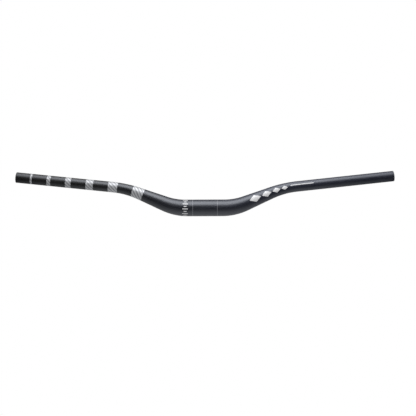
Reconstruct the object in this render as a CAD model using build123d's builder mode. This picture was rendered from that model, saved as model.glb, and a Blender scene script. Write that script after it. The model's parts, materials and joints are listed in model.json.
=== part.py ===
"""Riser handlebar for a mountain bike: one hollow moulded tube, bent up and back on each side.

Frame: the origin is the middle of the clamp seat, on the tube's axis. +X runs along the clamp seat to
the rider's left, +Y points back to the rider, the way the grips sweep, and +Z is up.
Lengths are millimetres and angles are degrees.
"""

from build123d import *

import os
from math import cos, radians, sin

# Overall form
BAR_WIDTH = 800.0  # between the centres of the two end faces
CLAMP_DIAMETER = 35.0  # round seat for the stem
GRIP_DIAMETER = 22.2  # round seat for levers and grips
RISE = 40.0  # height of the outer bend's corner above the clamp's axis
UP_SWEEP = 5.0  # slope of the grips, seen from the front
BACK_SWEEP = 8.0  # turn of the sides towards the rider, seen from above

# Bends
RISE_ANGLE = 21.0  # slope of the run between the two bends
INNER_BEND_AT = 62.0  # corner of the inner bend, from the middle of the clamp seat
INNER_BEND_RADIUS = 120.0
OUTER_BEND_RADIUS = 210.0

# Taper from the clamp seat to the grip, measured along the centre line from the middle
TAPER_START = 30.0
TAPER_END = 190.0

# Round sections that the tapered run is drawn through, evenly spaced
SECTION_COUNT = 41
STRAIGHT_LEAD = 8.0  # least stretch of straight centre line beyond the bends that they take in

# Wall, thicker at the clamp seat than at the grips
CLAMP_WALL = 2.7
GRIP_WALL = 2.2

# Cut ends, with the sharp edges taken off
END_CHAMFER = 0.6
BORE_CHAMFER = 0.4


def direction(slope):
    """A unit vector outwards along the +X side: turned back by the sweep, and rising at slope."""
    return Vector(
        cos(radians(slope)) * cos(radians(BACK_SWEEP)),
        cos(radians(slope)) * sin(radians(BACK_SWEEP)),
        sin(radians(slope)),
    )


# Centre line of the +X half: clamp seat, inner bend, rising run, outer bend, grip
rising, gripping = direction(RISE_ANGLE), direction(UP_SWEEP)
inner_corner = Vector(INNER_BEND_AT, 0, 0)
outer_corner = inner_corner + rising * (RISE / rising.Z)
bar_end = outer_corner + gripping * ((BAR_WIDTH / 2 - outer_corner.X) / gripping.X)

with BuildLine() as half_line:
    FilletPolyline(
        (0, 0, 0),
        inner_corner,
        outer_corner,
        bar_end,
        radius=[INNER_BEND_RADIUS, OUTER_BEND_RADIUS],
    )

centre_line = half_line.wire()
runs = half_line.edges().sort_by(Axis.X)
loft_start = min(TAPER_START, runs[0].length - STRAIGHT_LEAD)
loft_end = max(TAPER_END, centre_line.length - runs[-1].length + STRAIGHT_LEAD)


def eased(at):
    """Share of the taper that is done at a distance along the centre line, level at both ends."""
    share = min(max((at - TAPER_START) / (TAPER_END - TAPER_START), 0), 1)
    return share * share * (3 - 2 * share)


def outer_radius(at):
    """Outside radius at a distance along the centre line."""
    return (CLAMP_DIAMETER + (GRIP_DIAMETER - CLAMP_DIAMETER) * eased(at)) / 2


def bore_radius(at):
    """Inside radius at a distance along the centre line."""
    return outer_radius(at) - CLAMP_WALL - (GRIP_WALL - CLAMP_WALL) * eased(at)


def section(radius_at, at):
    """A disc square to the centre line at a distance along it; a level x axis keeps it from twisting."""
    origin = centre_line.position_at(at, position_mode=PositionMode.LENGTH)
    tangent = centre_line.tangent_at(at, position_mode=PositionMode.LENGTH)
    with BuildSketch(Plane(origin, x_dir=Vector(0, 0, 1).cross(tangent), z_dir=tangent)) as disc:
        Circle(radius_at(at))
    return disc.sketch


def side_form(radius_at, mode):
    """A round form along the +X side: the tapered run through both bends, then the straight grip."""
    spacing = (loft_end - loft_start) / (SECTION_COUNT - 1)
    loft([section(radius_at, loft_start + spacing * index) for index in range(SECTION_COUNT)], mode=mode)
    extrude(section(radius_at, loft_end), amount=centre_line.length - loft_end, mode=mode)


with BuildPart() as handlebar:
    # One hollow side with its cut end, and its mirror image
    side_form(outer_radius, Mode.ADD)
    side_form(bore_radius, Mode.SUBTRACT)
    cut_end = handlebar.faces().filter_by(GeomType.PLANE).sort_by(Axis.X)[-1]
    bore_edge, outer_edge = cut_end.edges().sort_by(SortBy.LENGTH)
    chamfer(outer_edge, length=END_CHAMFER)
    chamfer(bore_edge, length=BORE_CHAMFER)
    mirror(about=Plane.YZ)

    # The straight clamp seat that carries both sides
    with BuildSketch(Plane.YZ):
        Circle(outer_radius(0))
        Circle(bore_radius(0), mode=Mode.SUBTRACT)
    extrude(amount=loft_start, both=True)

handlebar.part.label = "handlebar"

os.makedirs("parts", exist_ok=True)
export_step(handlebar.part, "parts/handlebar.step")
print(f"centre line {2 * centre_line.length:.1f} mm, volume {handlebar.part.volume / 1000:.1f} cm3")
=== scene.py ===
"""Looks of the riser handlebar: a satin black moulded tube over a pale floor, under one large softbox.

The frame is the part's own, in metres: the origin is the middle of the clamp seat, +X runs along it to
the rider's left, +Y points back to the rider and +Z is up. Angles are degrees until they are used.
"""

import json
from math import cos, pi, radians, sin, tan

import bpy
import numpy as np
from mathutils import Matrix, Vector


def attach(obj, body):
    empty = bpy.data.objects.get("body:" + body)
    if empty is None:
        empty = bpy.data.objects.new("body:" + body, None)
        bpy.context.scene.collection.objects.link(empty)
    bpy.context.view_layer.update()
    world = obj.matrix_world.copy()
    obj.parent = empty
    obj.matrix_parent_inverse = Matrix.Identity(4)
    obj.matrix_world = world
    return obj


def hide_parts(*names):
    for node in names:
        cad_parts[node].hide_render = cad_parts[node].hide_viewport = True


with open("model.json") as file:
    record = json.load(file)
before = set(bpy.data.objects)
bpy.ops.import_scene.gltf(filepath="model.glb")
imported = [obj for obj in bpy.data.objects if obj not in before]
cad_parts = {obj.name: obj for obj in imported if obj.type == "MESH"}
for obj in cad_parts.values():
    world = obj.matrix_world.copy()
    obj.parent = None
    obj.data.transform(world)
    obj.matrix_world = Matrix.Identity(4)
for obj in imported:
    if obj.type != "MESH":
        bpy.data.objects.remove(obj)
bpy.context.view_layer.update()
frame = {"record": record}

# Form of the tube that the record's mounts don't give
RISE_ANGLE = 21.0
INNER_BEND_RADIUS = 0.120
OUTER_BEND_RADIUS = 0.210
TAPER_START = 0.030
TAPER_END = 0.190
CLAMP_WALL = 0.0027
END_CHAMFER = 0.0006
BORE_CHAMFER = 0.0004
EDGE_SOFTNESS = 0.0001  # how far each edge of the cut ends is rounded

# Fineness of the meshes
SIDES = 96
ANGLES = [2 * pi * side / SIDES for side in range(SIDES)]
OUTER_STEP = 0.004
BORE_STEP = 0.008

# Print. Places along the tube are distances from its middle. Places round it are turns, which start
# straight down and go up the front
RING_MARK_AT = 0.0259
RING_MARK_WIDTH = 0.0007
TICKS_AT = -0.0416
TICK_LENGTHS = (0.011, 0.006)  # every other tick is short
TICK_WIDTH = 0.0020
TICK_TURN = 0.25  # of the middle tick
TICK_SPACING = 1 / 20
TICK_REACH = 4  # ticks on each side of the middle one
BANDS_AT = -0.135
BAND_COUNT = 6
BAND_WIDEST = 0.024
BAND_STEP = 0.004  # by which each band is narrower than the one before it
BAND_GAP = 0.032
HATCH_PITCH = 0.008
HATCH_TURNS = 9  # lines crossed on the way round
DIAMONDS_AT = 0.095
DIAMOND_COUNT = 4
DIAMOND_LONGEST = 0.026
DIAMOND_STEP = 0.004  # by which each diamond is shorter than the one before it
DIAMOND_GAP = 0.002
DIAMOND_HEIGHT = 0.62  # of its length
DIAMOND_TURN = 0.30
LINE_AT = (0.187, 0.236)
LINE_WIDTH = 0.0017
LINE_TURN = 0.33

# Maps on the tube's mesh, with the share of the layout's height that each chart takes
PLACES_MAP = "TubePlaces"
LAYOUT_MAP = "OFBake"
MAP_MARGIN = 0.005
COAT_CHARTS = (0.24, 0.34, 0.24)  # -X side, middle and +X side
CUT_CHART = 0.025
BORE_CHART = 0.10

# Colours are linear
WHITE = (1, 1, 1, 1)
PLAIN_BLACK = (0.006, 0.0055, 0.005, 1)
PLAIN_BLACK_PALE = (0.015, 0.014, 0.013, 1)
# Black under painted bluish light, which the coat takes on towards its +X side
BLACK_UNDER_PAINTED_BLUE_LIGHT = (0.0095, 0.012, 0.0255, 1)
BLACK_UNDER_PAINTED_BLUE_LIGHT_PALE = (0.023, 0.026, 0.042, 1)
RING_MARK_COLOUR = (0.24, 0.24, 0.26, 1)
SILVER = (0.65, 0.66, 0.68, 1)
SILVER_DARK = (0.22, 0.225, 0.24, 1)
PRINT_WHITE = (0.82, 0.82, 0.83, 1)
CUT_DARK = (0.012, 0.012, 0.013, 1)
CUT_PALE = (0.055, 0.055, 0.058, 1)
BORE_DARK = (0.020, 0.020, 0.021, 1)
BORE_PALE = (0.075, 0.075, 0.078, 1)
FLOOR_COLOUR = (0.8, 0.8, 0.8, 1)
CURTAIN_COLOUR = (0.02, 0.02, 0.02, 1)

# Coat: how its black changes, with painted blue light towards +X, scales and details of its noise, and
# its gloss, whose reflections carry a painted blue tint
PAINTED_BLUE_LIGHT_SPAN = (-0.25, 0.15)  # places along the tube between which the black turns from plain to bluish under painted blue light
GRAIN_STRETCH = 0.05  # how much of a distance along the tube counts in its grain
FIBRE_SCALE = 900.0
FIBRE_DETAIL = 4.0
FIBRE_NOISE = (0.35, 0.65)  # noise from which a fibre is fully dark to where it is fully pale
CLOUD_SCALE = 40.0
PEEL_SCALE = 1500.0
PEEL_DEPTH = 0.000004
COAT_ROUGHNESS = (0.37, 0.47)
FIBRES_IN_GLOSS = 0.3  # share of the fibres, beside broad clouds, in how the roughness varies
COAT_SPECULAR = 0.9
# Painted blue tint on the coat's reflections, which stands in for bluish light
COAT_PAINTED_BLUE_REFLECTION_TINT = (0.88, 0.92, 1.0, 1)
SILVER_METAL = 0.2  # how metallic the silver print is

# Bare composite of the cut ends and the bore
CUT_SCALE = 2500.0
CUT_DETAIL = 4.0
CUT_DEPTH = 0.00002
PLY_THICKNESS = 0.0002
PLY_WANDER = 0.0003
CREASE_SCALE = 400.0
CREASE_DETAIL = 3.0
CREASE_DEPTH = 0.0001
BARE_ROUGHNESS = (0.55, 0.75)

# Camera of the photograph
PHOTO_SIZE = 416
ORIGIN_PIXEL = (205.04, 207.90)
CAMERA_DISTANCE = 4.0
CAMERA_ELEVATION = 6.95
CAMERA_ROLL = -0.222
VIEW_WIDTH = 0.874  # seen across the picture at the origin's distance
SENSOR_WIDTH = 36.0  # millimetres

# Studio
FLOOR_DEPTH = 0.55  # below the origin
FLOOR_RADIUS = 1.6
FLOOR_FADE = (0.05, 0.44)  # distances in front and behind over which it fades into the white room
FLOOR_FADE_STRETCH = 2.0  # how much further the fade reaches along the bar
FLOOR_WHITE_LEAST = 0.4  # the white room's share in the floor under the bar
SOFTBOX_SIZE = (1.0, 1.2)
SOFTBOX_HEIGHT = 1.15
SOFTBOX_FORWARD = 0.40
SOFTBOX_RADIANCE = 4.1
# Rings of the curtain, upwards: radii along and across the bar, and heights
CURTAIN_RINGS = ((0.25, 0.25, -0.5), (0.6, 0.6, 0.0), (1.8, 0.6, 0.7))
CURTAIN_FADE = (-0.5, -0.10)  # heights between which the curtain thickens from nothing
ROOM_LIGHT = 0.35  # the white room's strength for diffuse light

# Sizes that the record's mounts give
MILLIMETRE = 0.001
mounts = {mount["name"]: mount for mount in frame["record"]["mounts"]}
CLAMP_RADIUS = mounts["stem_clamp"]["dims"]["r_mm"] * MILLIMETRE
GRIP_RADIUS = mounts["left_grip_seat"]["dims"]["r_mm"] * MILLIMETRE
GRIP_LENGTH = mounts["left_grip_seat"]["dims"]["length_mm"] * MILLIMETRE
END_BORE_RADIUS = mounts["left_end_bore"]["dims"]["r_mm"] * MILLIMETRE

# Headings of the +X half, and the corners where its straight runs would meet
clamp_heading = Vector(mounts["stem_clamp"]["axis"])
grip_heading = Vector(mounts["left_grip_seat"]["axis"])
grip_middle = Vector(mounts["left_grip_seat"]["pos_m"])
sweep = Vector((grip_heading.x, grip_heading.y, 0)).normalized()
rise_heading = sweep * cos(radians(RISE_ANGLE)) + Vector((0, 0, sin(radians(RISE_ANGLE))))
inner_corner = Vector((grip_middle.x - grip_middle.y * sweep.x / sweep.y, 0, 0))
grip_slope = grip_heading.z / grip_heading.xy.length
reach = grip_middle - inner_corner
rise_reach = (reach.z - grip_slope * reach.xy.length) / (tan(radians(RISE_ANGLE)) - grip_slope)
outer_corner = inner_corner + rise_heading * (rise_reach / cos(radians(RISE_ANGLE)))
bar_end = grip_middle + grip_heading * (GRIP_LENGTH / 2 + END_CHAMFER)


def corner_length(before, after, radius):
    """How far from its corner a bend starts."""
    return radius * tan(before.angle(after) / 2)


inner_cut = corner_length(clamp_heading, rise_heading, INNER_BEND_RADIUS)
outer_cut = corner_length(rise_heading, grip_heading, OUTER_BEND_RADIUS)
# Each run's heading, its straight length, and the radius of the bend that follows it
RUNS = (
    (clamp_heading, inner_corner.x - inner_cut, INNER_BEND_RADIUS),
    (rise_heading, (outer_corner - inner_corner).length - inner_cut - outer_cut, OUTER_BEND_RADIUS),
    (grip_heading, (bar_end - outer_corner).length - outer_cut, 0),
)
BENDS = [before[0].angle(after[0]) * before[2] for before, after in zip(RUNS, RUNS[1:])]
HALF_LENGTH = sum(run[1] for run in RUNS) + sum(BENDS)


def half_line(along):
    """Point and heading of the +X half's centre line at a distance from the middle."""
    point = Vector((0, 0, 0))
    for index, (heading, straight, radius) in enumerate(RUNS):
        point = point + heading * min(along, straight)
        along -= straight
        if along <= 0 or not radius:
            break
        after = RUNS[index + 1][0]
        turn = heading.angle(after)
        swept = min(along / radius, turn)
        inward = (after - heading * cos(turn)).normalized()
        point = point + (heading * sin(swept) + inward * (1 - cos(swept))) * radius
        heading = heading * cos(swept) + inward * sin(swept)
        along -= turn * radius
        if along <= 0:
            break
    return point, heading


def centre_line(along):
    """Point and heading at a signed distance from the middle, where -X is the mirror image of +X."""
    point, heading = half_line(abs(along))
    if along >= 0:
        return point, heading
    return Vector((-point.x, point.y, point.z)), Vector((heading.x, -heading.y, -heading.z))


def eased(along):
    """Share of the taper that is done at a distance along the centre line, level at both ends."""
    share = min(max((abs(along) - TAPER_START) / (TAPER_END - TAPER_START), 0), 1)
    return share * share * (3 - 2 * share)


def outer_radius(along):
    """Outside radius at a distance along the centre line."""
    return CLAMP_RADIUS + (GRIP_RADIUS - CLAMP_RADIUS) * eased(along)


def bore_radius(along):
    """Inside radius at a distance along the centre line."""
    clamp_bore = CLAMP_RADIUS - CLAMP_WALL
    return clamp_bore + (END_BORE_RADIUS - clamp_bore) * eased(along)


def softened(before, corner, after):
    """Three points that round a corner of the tube's profile."""
    before, corner, after = (np.array(point) for point in (before, corner, after))
    start = corner + (before - corner) / np.linalg.norm(before - corner) * EDGE_SOFTNESS
    stop = corner + (after - corner) / np.linalg.norm(after - corner) * EDGE_SOFTNESS
    middle = (start + 2 * corner + stop) / 4
    return [tuple(point) for point in (start, middle, stop)]


def cut_end():
    """Profile of the +X end as (along, radius): outer chamfer, flat face and bore chamfer."""
    end = HALF_LENGTH
    corners = [
        (end - 2 * END_CHAMFER, GRIP_RADIUS),
        (end - END_CHAMFER, GRIP_RADIUS),
        (end, GRIP_RADIUS - END_CHAMFER),
        (end, END_BORE_RADIUS + BORE_CHAMFER),
        (end - BORE_CHAMFER, END_BORE_RADIUS),
        (end - 2 * BORE_CHAMFER, END_BORE_RADIUS),
    ]
    points = []
    for before, corner, after in zip(corners, corners[1:], corners[2:]):
        points += softened(before, corner, after)
    return points


def tube_profile():
    """The tube's whole profile as a closed loop of (along, radius), and the kind of surface at each."""
    end = cut_end()
    other_end = [(-along, radius) for along, radius in reversed(end)]
    outer_reach, bore_reach = end[0][0], end[-1][0]
    outer = np.linspace(-outer_reach, outer_reach, round(2 * outer_reach / OUTER_STEP) + 1)[1:-1]
    bore = np.linspace(bore_reach, -bore_reach, round(2 * bore_reach / BORE_STEP) + 1)[1:-1]
    stretches = (
        ("coat", [(along, outer_radius(along)) for along in outer]),
        ("cut", end),
        ("bore", [(along, bore_radius(along)) for along in bore]),
        ("cut", other_end),
    )
    loop, kinds = [], []
    for kind, points in stretches:
        loop += points
        kinds += [kind] * len(points)
    return loop, kinds


def ring(along, radius):
    """Points round the tube at a distance along it, from straight down and then up the front."""
    point, heading = centre_line(along)
    back = Vector((0, 0, 1)).cross(heading).normalized()
    up = heading.cross(back)
    return [point - (up * cos(angle) + back * sin(angle)) * radius for angle in ANGLES]


def level_ring(along, across, height):
    """Points of a level oval about the origin's upright axis, by its radii along and across the bar."""
    return [(along * cos(angle), across * sin(angle), height) for angle in ANGLES]


def ring_faces(first, second):
    """Faces between two rings of points, by the number of each ring's first point."""
    neighbours = [(side, (side + 1) % SIDES) for side in range(SIDES)]
    return [(first + side, second + side, second + after, first + after) for side, after in neighbours]


def bake_charts(kinds):
    """The layout's charts: each one's first and last ring, its height, and whether it lies across."""
    coat, bore, cut = kinds.count("coat"), kinds.count("bore"), kinds.count("cut") // 2
    splits = (-1, coat // 3, coat * 2 // 3, coat)
    bore_first = coat + cut
    bore_last = bore_first + bore
    return [
        *((first, last, height, False) for first, last, height in zip(splits, splits[1:], COAT_CHARTS)),
        (coat, bore_first - 1, CUT_CHART, True),
        (bore_first - 1, bore_last, BORE_CHART, False),
        (bore_last, bore_last + cut - 1, CUT_CHART, True),
    ]


def tube_maps(loop, kinds):
    """Two maps for each face's corners: places on the tube, and a flat layout with no overlap.

    A place is the distance along the tube, or from its axis on a cut end, and the turns round it.
    """
    count = len(loop)
    points = np.array(loop)
    steps = np.linalg.norm(np.roll(points, -1, axis=0) - points, axis=1)
    # Distances along the profile, from the ring before the first one
    run = np.concatenate([[-steps[-1], 0], np.cumsum(steps)])
    turns = np.arange(SIDES + 1) / SIDES
    places = np.zeros((count, SIDES, 4, 2))
    layout = np.zeros((count, SIDES, 4, 2))
    low = MAP_MARGIN
    for first, last, height, across in bake_charts(kinds):
        for index in range(first, last):
            spots = points[[index, (index + 1) % count], int(across)]
            shares = np.interp(run[[index + 1, index + 2]], run[[first + 1, last + 1]], (0, 1))
            for corner, (end, side) in enumerate(((0, 0), (1, 0), (1, 1), (0, 1))):
                turn = turns[side : side + SIDES]
                places[index, :, corner, 0] = spots[end]
                places[index, :, corner, 1] = turn
                wide, tall = (turn, shares[end]) if across else (shares[end], turn)
                layout[index, :, corner, 0] = MAP_MARGIN + (1 - 2 * MAP_MARGIN) * wide
                layout[index, :, corner, 1] = low + height * tall
        low += height + MAP_MARGIN
    return places.reshape(-1, 2), layout.reshape(-1, 2)


def add_object(name, data):
    """A new object in the scene."""
    thing = bpy.data.objects.new(name, data)
    bpy.context.scene.collection.objects.link(thing)
    return thing


def make_tube(materials):
    """The whole tube, outside, cut ends and bore, as one closed mesh."""
    loop, kinds = tube_profile()
    count = len(loop)
    points = [point for along, radius in loop for point in ring(along, radius)]
    faces, slots = [], []
    for index in range(count):
        after = (index + 1) % count
        faces += ring_faces(index * SIDES, after * SIDES)
        kind = ({kinds[index], kinds[after]} - {"cut"} or {"cut"}).pop()
        slots += [list(materials).index(kind)] * SIDES
    mesh = bpy.data.meshes.new("handlebar_tube")
    mesh.from_pydata(points, [], faces)
    places, layout = tube_maps(loop, kinds)
    for name, values in ((PLACES_MAP, places), (LAYOUT_MAP, layout)):
        mesh.uv_layers.new(name=name).uv.foreach_set("vector", values.astype(np.float32).ravel())
    for material in materials.values():
        mesh.materials.append(material)
    mesh.polygons.foreach_set("material_index", slots)
    mesh.polygons.foreach_set("use_smooth", [True] * len(faces))
    mesh.update()
    return add_object("handlebar_tube", mesh)


class Tree:
    """A node tree, with short ways to add nodes and sums."""

    def __init__(self, owner):
        owner.use_nodes = True
        self.nodes, self.links = owner.node_tree.nodes, owner.node_tree.links
        self.nodes.clear()

    def feed(self, socket, value):
        """Link another node's output to a socket, or set a constant on it."""
        if isinstance(value, bpy.types.NodeSocket):
            self.links.new(value, socket)
        else:
            socket.default_value = value

    def add(self, kind, inputs=None, **settings):
        """A new node, with its settings made and its inputs fed."""
        node = self.nodes.new("ShaderNode" + kind)
        for name, value in settings.items():
            setattr(node, name, value)
        for name, value in (inputs or {}).items():
            self.feed(node.inputs[name], value)
        return node

    def math(self, operation, *values):
        """The result of an operation on up to three values."""
        return self.add("Math", dict(enumerate(values)), operation=operation).outputs[0]

    def largest(self, values):
        """The largest of several values."""
        result = values[0]
        for value in values[1:]:
            result = self.math("MAXIMUM", result, value)
        return result

    def off(self, value, middle, reach):
        """How far value lies from the middle, in shares of the reach."""
        return self.math("DIVIDE", self.math("ABSOLUTE", self.math("SUBTRACT", value, middle)), reach)

    def within(self, *shares):
        """1 where each share is less than 1, and 0 elsewhere."""
        return self.math("LESS_THAN", self.largest(shares), 1)

    def blend(self, share, first, second):
        """A colour between two, at a share of the way."""
        inputs = {"Factor": share, "A": first, "B": second}
        return self.add("Mix", inputs, data_type="RGBA").outputs["Result"]

    def range(self, value, low, high):
        """value, from 0 to 1, moved to run from low to high."""
        return self.math("MULTIPLY_ADD", value, high - low, low)

    def ramp(self, value, start, stop, low=0.0, kind="LINEAR"):
        """low where value is up to start, 1 from stop on, and a ramp of that kind between them."""
        inputs = {"Value": value, "From Min": start, "From Max": stop, "To Min": low}
        return self.add("MapRange", inputs, interpolation_type=kind).outputs["Result"]

    def noise(self, vector, scale, detail=2.0):
        """Noise about one half, from 0 to 1."""
        return self.add("TexNoise", {"Vector": vector, "Scale": scale, "Detail": detail}).outputs["Fac"]

    def position(self):
        """The shaded point's place in the frame."""
        return self.add("NewGeometry").outputs["Position"]


def tube_places(tree):
    """Sockets for the distance along the tube, the turns round it, and a seamless point for grain."""
    places = tree.add("UVMap", uv_map=PLACES_MAP).outputs["UV"]
    split = tree.add("SeparateXYZ", {"Vector": places})
    along, turns = split.outputs["X"], split.outputs["Y"]
    angle = tree.math("MULTIPLY", turns, 2 * pi)
    grain = tree.add("CombineXYZ", {
        "X": tree.math("MULTIPLY", along, GRAIN_STRETCH),
        "Y": tree.math("MULTIPLY", tree.math("COSINE", angle), CLAMP_RADIUS),
        "Z": tree.math("MULTIPLY", tree.math("SINE", angle), CLAMP_RADIUS),
    })
    return along, turns, grain.outputs["Vector"]


def surface(tree, inputs, height, depth):
    """The shader of a solid surface, with bumps by a height from 0 to 1, of a depth in metres."""
    bump = tree.add("Bump", {"Height": height, "Distance": depth, "Strength": 1.0})
    shader = tree.add("BsdfPrincipled", {**inputs, "Normal": bump.outputs["Normal"]})
    tree.add("OutputMaterial", {"Surface": shader.outputs["BSDF"]})


def turns_of(length, along):
    """A length round the tube's outside as a share of a turn, at a place along it."""
    return length / (2 * pi * outer_radius(along))


def ring_marks(tree, along):
    """Two thin rings that show the middle of the clamp seat."""
    return tree.within(tree.off(tree.math("ABSOLUTE", along), RING_MARK_AT, RING_MARK_WIDTH / 2))


def angle_ticks(tree, along, turns):
    """Strokes along the tube, spaced round its front, by which the bar is set to an angle."""
    ticks = []
    half_width = turns_of(TICK_WIDTH, TICKS_AT) / 2
    for index in range(-TICK_REACH, TICK_REACH + 1):
        off_along = tree.off(along, TICKS_AT, TICK_LENGTHS[index % 2] / 2)
        off_round = tree.off(turns, TICK_TURN + index * TICK_SPACING, half_width)
        ticks.append(tree.within(off_along, off_round))
    return tree.largest(ticks)


def bands(tree, along):
    """Bands square to the tube that get narrower towards the grip."""
    fields, edge = [], BANDS_AT
    for index in range(BAND_COUNT):
        width = BAND_WIDEST - BAND_STEP * index
        fields.append(tree.within(tree.off(along, edge - width / 2, width / 2)))
        edge -= width + BAND_GAP
    return tree.largest(fields)


def hatch(tree, along, turns):
    """Fine slanted lines, from 0 to 1 and back."""
    lines = tree.math("MULTIPLY_ADD", turns, HATCH_TURNS, tree.math("DIVIDE", along, HATCH_PITCH))
    return tree.math("PINGPONG", tree.math("MULTIPLY", lines, 2), 1)


def diamonds(tree, along, turns):
    """A row of diamonds on the front that get smaller towards the grip."""
    fields, edge = [], DIAMONDS_AT
    for index in range(DIAMOND_COUNT):
        length = DIAMOND_LONGEST - DIAMOND_STEP * index
        middle = edge + length / 2
        off_along = tree.off(along, middle, length / 2)
        off_round = tree.off(turns, DIAMOND_TURN, turns_of(length * DIAMOND_HEIGHT, middle) / 2)
        fields.append(tree.within(tree.math("ADD", off_along, off_round)))
        edge += length + DIAMOND_GAP
    return tree.largest(fields)


def thin_line(tree, along, turns):
    """A thin line along the front, beyond the diamonds."""
    start, stop = LINE_AT
    off_along = tree.off(along, (start + stop) / 2, (stop - start) / 2)
    off_round = tree.off(turns, LINE_TURN, turns_of(LINE_WIDTH, start) / 2)
    return tree.within(off_along, off_round)


def coat_material():
    """Satin black coat over drawn fibres, with its marks printed on it."""
    material = bpy.data.materials.new("satin_black_coat")
    tree = Tree(material)
    along, turns, grain = tube_places(tree)
    position = tree.position()
    fibres = tree.ramp(tree.noise(grain, FIBRE_SCALE, FIBRE_DETAIL), *FIBRE_NOISE)
    clouds = tree.noise(position, CLOUD_SCALE)
    dulling = tree.add("Mix", {"Factor": FIBRES_IN_GLOSS, "A": clouds, "B": fibres}).outputs["Result"]
    plain_black = tree.blend(fibres, PLAIN_BLACK, PLAIN_BLACK_PALE)
    # Painted blue light: the black turns bluish from the middle towards the +X side
    black_under_painted_blue_light = tree.blend(fibres, BLACK_UNDER_PAINTED_BLUE_LIGHT, BLACK_UNDER_PAINTED_BLUE_LIGHT_PALE)
    black = tree.blend(tree.ramp(along, *PAINTED_BLUE_LIGHT_SPAN), plain_black, black_under_painted_blue_light)
    silver_print = bands(tree, along)
    silver = tree.blend(hatch(tree, along, turns), SILVER_DARK, SILVER)
    white_print = [
        angle_ticks(tree, along, turns),
        diamonds(tree, along, turns),
        thin_line(tree, along, turns),
    ]
    colour = tree.blend(ring_marks(tree, along), black, RING_MARK_COLOUR)
    colour = tree.blend(silver_print, colour, silver)
    colour = tree.blend(tree.largest(white_print), colour, PRINT_WHITE)
    inputs = {
        "Base Color": colour,
        "Metallic": tree.math("MULTIPLY", silver_print, SILVER_METAL),
        "Roughness": tree.range(dulling, *COAT_ROUGHNESS),
        "Specular IOR Level": COAT_SPECULAR,
        # painted blue tint on the coat's reflections
        "Specular Tint": COAT_PAINTED_BLUE_REFLECTION_TINT,
    }
    surface(tree, inputs, tree.noise(position, PEEL_SCALE), PEEL_DEPTH)
    return material


def cut_material():
    """Bare composite where the ends are cut: rougher than the coat, with its plies showing as rings."""
    material = bpy.data.materials.new("cut_composite")
    tree = Tree(material)
    from_axis, _, _ = tube_places(tree)
    grain = tree.noise(tree.position(), CUT_SCALE, CUT_DETAIL)
    wandering = tree.math("MULTIPLY_ADD", grain, PLY_WANDER, from_axis)
    plies = tree.math("PINGPONG", tree.math("DIVIDE", wandering, PLY_THICKNESS), 1)
    inputs = {
        "Base Color": tree.blend(plies, CUT_DARK, CUT_PALE),
        "Roughness": tree.range(grain, *BARE_ROUGHNESS),
    }
    surface(tree, inputs, grain, CUT_DEPTH)
    return material


def bore_material():
    """Inside of the tube: rough composite, creased along by the bladder that it was moulded on."""
    material = bpy.data.materials.new("bore_composite")
    tree = Tree(material)
    _, _, grain = tube_places(tree)
    creases = tree.noise(grain, CREASE_SCALE, CREASE_DETAIL)
    inputs = {
        "Base Color": tree.blend(creases, BORE_DARK, BORE_PALE),
        "Roughness": tree.range(creases, *BARE_ROUGHNESS),
    }
    surface(tree, inputs, creases, CREASE_DEPTH)
    return material


def white_room_share(tree):
    """1 for the rays that see the white room: the camera's, reflected and refracted ones."""
    path = tree.add("LightPath")
    seen = ("Is Camera Ray", "Is Glossy Ray", "Is Transmission Ray")
    return tree.largest([path.outputs[name] for name in seen])


def make_world():
    """A white room, which lights diffuse surfaces less than it shows."""
    world = bpy.data.worlds.new("white_room")
    tree = Tree(world)
    strength = tree.range(white_room_share(tree), ROOM_LIGHT, 1.0)
    room = tree.add("Background", {"Color": WHITE, "Strength": strength})
    tree.add("OutputWorld", {"Surface": room.outputs["Background"]})
    bpy.context.scene.world = world


def floor_material():
    """Pale paint that fades into the white room away from the bar."""
    material = bpy.data.materials.new("pale_floor")
    tree = Tree(material)
    squeeze = (1 / FLOOR_FADE_STRETCH, 1, 0)
    level = tree.add("VectorMath", {0: tree.position(), 1: squeeze}, operation="MULTIPLY")
    distance = tree.add("VectorMath", {0: level.outputs["Vector"]}, operation="LENGTH")
    fade = tree.ramp(distance.outputs["Value"], *FLOOR_FADE, FLOOR_WHITE_LEAST, "SMOOTHSTEP")
    white = tree.math("MULTIPLY", fade, white_room_share(tree))
    paint = tree.add("BsdfDiffuse", {"Color": FLOOR_COLOUR})
    glow = tree.add("Emission", {"Color": WHITE, "Strength": 1.0})
    mixed = tree.add("MixShader", {0: white, 1: paint.outputs["BSDF"], 2: glow.outputs["Emission"]})
    tree.add("OutputMaterial", {"Surface": mixed.outputs["Shader"]})
    return material


def make_floor():
    """A round pale floor below the bar, which keeps its shadow."""
    mesh = bpy.data.meshes.new("floor")
    circle = level_ring(FLOOR_RADIUS, FLOOR_RADIUS, -FLOOR_DEPTH)
    mesh.from_pydata(circle, [], [tuple(range(SIDES))])
    mesh.materials.append(floor_material())
    add_object("floor", mesh)


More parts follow.
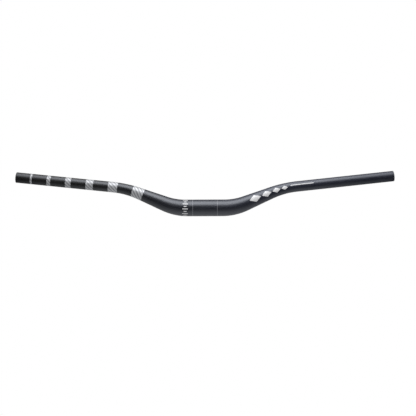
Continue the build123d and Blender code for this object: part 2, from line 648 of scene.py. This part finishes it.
def curtain_material():
    """Dark cloth that thins out to nothing downwards."""
    material = bpy.data.materials.new("dark_cloth")
    tree = Tree(material)
    height = tree.add("SeparateXYZ", {"Vector": tree.position()}).outputs["Z"]
    cover = tree.ramp(height, *CURTAIN_FADE)
    cloth = tree.add("BsdfDiffuse", {"Color": CURTAIN_COLOUR})
    clear = tree.add("BsdfTransparent")
    mixed = tree.add("MixShader", {0: cover, 1: clear.outputs["BSDF"], 2: cloth.outputs["BSDF"]})
    tree.add("OutputMaterial", {"Surface": mixed.outputs["Shader"]})
    return material


def make_curtain():
    """A dark curtain round the set that only reflections see, so that the satin black stays black."""
    points, faces = [], []
    for level, oval in enumerate(CURTAIN_RINGS):
        points += level_ring(*oval)
        if level:
            faces += ring_faces(level * SIDES, (level - 1) * SIDES)
    mesh = bpy.data.meshes.new("curtain")
    mesh.from_pydata(points, [], faces)
    mesh.materials.append(curtain_material())
    curtain = add_object("curtain", mesh)
    curtain.visible_camera = False
    curtain.visible_diffuse = False
    curtain.visible_shadow = False


def make_softbox():
    """One large soft light over the bar and a little in front of it."""
    light = bpy.data.lights.new("softbox", "AREA")
    light.shape = "RECTANGLE"
    light.size, light.size_y = SOFTBOX_SIZE
    light.energy = SOFTBOX_RADIANCE * pi * light.size * light.size_y
    softbox = add_object("softbox", light)
    softbox.location = (0, -SOFTBOX_FORWARD, SOFTBOX_HEIGHT)


def make_camera():
    """The photograph's camera, in front of the bar and a little above it."""
    data = bpy.data.cameras.new("camera")
    data.sensor_width = SENSOR_WIDTH
    data.lens = SENSOR_WIDTH * CAMERA_DISTANCE / VIEW_WIDTH
    data.shift_x = (PHOTO_SIZE / 2 - ORIGIN_PIXEL[0]) / PHOTO_SIZE
    data.shift_y = (ORIGIN_PIXEL[1] - PHOTO_SIZE / 2) / PHOTO_SIZE
    elevation = radians(CAMERA_ELEVATION)
    stand = Vector((0, -cos(elevation), sin(elevation))) * CAMERA_DISTANCE
    turn = Matrix.Rotation(pi / 2 - elevation, 4, "X") @ Matrix.Rotation(radians(CAMERA_ROLL), 4, "Z")
    camera = add_object("camera", data)
    camera.matrix_world = Matrix.Translation(stand) @ turn
    bpy.context.scene.camera = camera


tube = make_tube({"coat": coat_material(), "cut": cut_material(), "bore": bore_material()})
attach(tube, "root")
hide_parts("handlebar")

make_world()
make_floor()
make_curtain()
make_softbox()
make_camera()
bpy.context.scene.view_settings.view_transform = "Standard"
